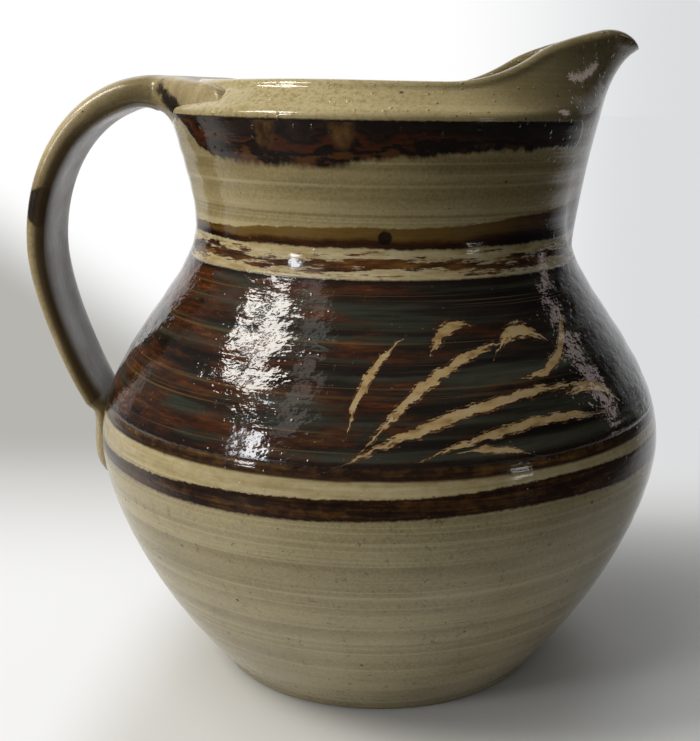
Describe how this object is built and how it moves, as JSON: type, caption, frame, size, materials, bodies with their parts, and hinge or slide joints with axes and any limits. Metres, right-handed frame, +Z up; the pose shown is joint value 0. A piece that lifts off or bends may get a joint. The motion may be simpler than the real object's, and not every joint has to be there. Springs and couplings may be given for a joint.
{
  "type": "stoneware pitcher",
  "caption": "Round-bellied glazed stoneware pitcher with a drawn pouring spout and a pulled strap handle.",
  "frame": {"origin": "centre of the flat foot, on the table", "axes": "+Z up along the axis of the thrown body, +X towards the pouring spout, handle towards -X"},
  "size_m": [0.2432, 0.22, 0.2466],
  "materials": {
    "body_glaze": "glossy grey-beige glaze with dark iron-brown bands and shoulder",
    "spout_glaze": "glossy olive-beige glaze with one dark iron-brown band",
    "handle_glaze": "satin grey-beige glaze, thin and brown on the edges"
  },
  "bodies": {
    "root": {"thrown_body": "body_glaze", "pouring_spout": "spout_glaze", "strap_handle": "handle_glaze"}
  },
  "joints": []
}
